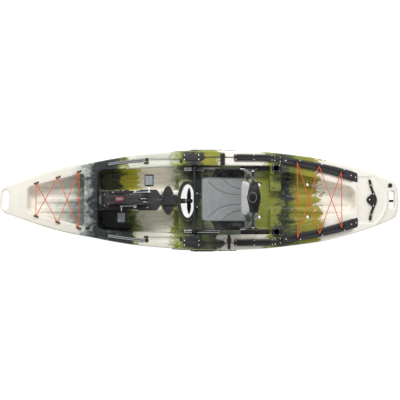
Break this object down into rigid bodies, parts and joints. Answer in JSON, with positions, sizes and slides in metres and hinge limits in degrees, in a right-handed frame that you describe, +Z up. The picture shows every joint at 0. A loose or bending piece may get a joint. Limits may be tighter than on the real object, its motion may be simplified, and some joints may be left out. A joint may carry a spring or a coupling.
{
  "type": "kayak",
  "caption": "Sit-on-top fishing kayak with a pedal-driven folding propeller unit, sliding mesh seat, stern rudder, tank wells, gear tracks and carry handles.",
  "frame": {"origin": "middle of the overall length and beam, at the height of the skeg shoe's underside", "axes": "+X aft along the keel, +Y to starboard, +Z up"},
  "size_m": [4.09, 1.048, 0.99],
  "materials": {
    "camo_hull": "rotomoulded polyethylene in camouflage bands of cream, grey-green, olive and charcoal",
    "black_plastic": "satin moulded black plastic",
    "dark_plastic": "fine-textured dark grey plastic",
    "alloy": "brushed and anodised",
    "black_alloy": "black powder-coated",
    "black_fabric": "woven black polyester",
    "grey_mesh": "open grey sling mesh",
    "grey_rubber": "grey textured grip",
    "belt_rubber": "toothed black belt",
    "orange_cord": "braided orange shock cord",
    "black_cord": "braided black shock cord"
  },
  "bodies": {
    "hull": {"hull_shell": "camo_hull", "skeg_shoe": "black_plastic", "drain_plug": "black_plastic", "transducer_cover": "black_plastic", "drive_console": "dark_plastic", "drive_pedestal": "dark_plastic", "drive_case_port": "dark_plastic", "drive_case_starboard": "dark_plastic", "drive_belt": "belt_rubber", "drive_leg": "black_alloy", "shaft_cover": "dark_plastic", "prop_well_ring": "black_plastic", "bow_bungee": "orange_cord", "stern_bungee": "orange_cord", "paddle_clip": "black_plastic", "gunwale_strap": "black_fabric", "front_gear_track_port": "alloy", "front_gear_track_starboard": "alloy", "seat_rail_port": "alloy", "seat_rail_starboard": "alloy", "rear_seat_rail_port": "black_plastic", "rear_seat_rail_starboard": "black_plastic", "accessory_plate_port": "black_plastic", "accessory_plate_starboard": "black_plastic", "side_tray_port": "black_plastic", "side_tray_starboard": "black_plastic", "stern_rail_port": "black_plastic", "stern_rail_starboard": "black_plastic", "rod_holder_port": "black_plastic", "rod_holder_starboard": "black_plastic", "side_bungee_port": "black_cord", "side_bungee_starboard": "black_cord"},
    "seat": {"seat_tube_port": "black_alloy", "seat_tube_starboard": "black_alloy", "seat_front_bar": "black_alloy", "seat_foot_bar": "black_alloy", "seat_rear_bar": "black_alloy", "seat_leg_port": "black_alloy", "seat_leg_starboard": "black_alloy", "seat_pan": "grey_mesh", "seat_side_port": "black_fabric", "seat_side_starboard": "black_fabric"},
    "seat_back": {"back_frame": "black_alloy", "back_panel_lower": "grey_mesh", "back_panel_upper": "black_fabric"},
    "crank": {"chainring": "alloy", "crank_arm_port": "alloy", "crank_arm_starboard": "alloy"},
    "pedal_port": {"pedal_port": "grey_rubber"},
    "pedal_starboard": {"pedal_starboard": "grey_rubber"},
    "jackshaft": {"jackshaft": "alloy"},
    "vertical_shaft": {"vertical_shaft": "alloy"},
    "lower_unit": {"lower_unit": "black_alloy"},
    "propeller": {"propeller": "black_plastic"},
    "drive_latch": {"drive_latch": "black_plastic"},
    "rudder": {"rudder_blade": "black_plastic", "rudder_yoke": "black_plastic"},
    "steering_knob": {"steering_knob": "dark_plastic"},
    "carry_handle_port": {"carry_handle_port": "grey_rubber"},
    "carry_handle_starboard": {"carry_handle_starboard": "grey_rubber"}
  },
  "joints": [
    {"name": "seat_slide", "type": "slide", "parent": "hull", "child": "seat", "axis": [1, 0, 0], "range_m": [-0.08, 0.1]},
    {"name": "seat_back_fold", "type": "hinge", "parent": "seat", "child": "seat_back", "pos_m": [0.503, 0, 0.498], "axis": [0, 1, 0], "range_deg": [-45, 8]},
    {"name": "crank_spin", "type": "hinge", "parent": "hull", "child": "crank", "pos_m": [-0.665, 0, 0.546], "axis": [0, 1, 0], "continuous": true},
    {"name": "pedal_port_spin", "type": "hinge", "parent": "crank", "child": "pedal_port", "pos_m": [-0.81078, -0.18, 0.4321], "axis": [0, 1, 0], "continuous": true},
    {"name": "pedal_starboard_spin", "type": "hinge", "parent": "crank", "child": "pedal_starboard", "pos_m": [-0.51922, 0.18, 0.6599], "axis": [0, 1, 0], "continuous": true},
    {"name": "jackshaft_spin", "type": "hinge", "parent": "hull", "child": "jackshaft", "pos_m": [-0.894, 0, 0.508], "axis": [0, 1, 0], "continuous": true},
    {"name": "vertical_shaft_spin", "type": "hinge", "parent": "hull", "child": "vertical_shaft", "pos_m": [-0.894, 0, 0.3], "axis": [0, 0, 1], "continuous": true},
    {"name": "lower_unit_fold", "type": "hinge", "parent": "hull", "child": "lower_unit", "pos_m": [-0.894, 0, 0.084], "axis": [0, 1, 0], "range_deg": [0, 30]},
    {"name": "propeller_spin", "type": "hinge", "parent": "lower_unit", "child": "propeller", "pos_m": [-0.139, 0, 0.084], "axis": [1, 0, 0], "continuous": true},
    {"name": "drive_latch_swing", "type": "hinge", "parent": "hull", "child": "drive_latch", "pos_m": [-1.005, 0, 0.354], "axis": [0, 1, 0], "range_deg": [-40, 0]},
    {"name": "rudder_steer", "type": "hinge", "parent": "hull", "child": "rudder", "pos_m": [1.69, 0, 0.1], "axis": [0, 0, 1], "range_deg": [-30, 30]},
    {"name": "steering_knob_turn", "type": "hinge", "parent": "hull", "child": "steering_knob", "pos_m": [0.195, -0.44, 0.4], "axis": [0, 0, 1], "range_deg": [-60, 60]},
    {"name": "carry_handle_port_swing", "type": "hinge", "parent": "hull", "child": "carry_handle_port", "pos_m": [0.01, -0.516, 0.262], "axis": [1, 0, 0], "range_deg": [-95, 0]},
    {"name": "carry_handle_starboard_swing", "type": "hinge", "parent": "hull", "child": "carry_handle_starboard", "pos_m": [0.01, 0.516, 0.262], "axis": [1, 0, 0], "range_deg": [0, 95]}
  ],
  "couplings": [
    {"joint": "jackshaft_spin", "follows": "crank_spin", "ratio": 2.9167},
    {"joint": "vertical_shaft_spin", "follows": "crank_spin", "ratio": 3},
    {"joint": "propeller_spin", "follows": "crank_spin", "ratio": 10},
    {"joint": "steering_knob_turn", "follows": "rudder_steer", "ratio": 2}
  ]
}
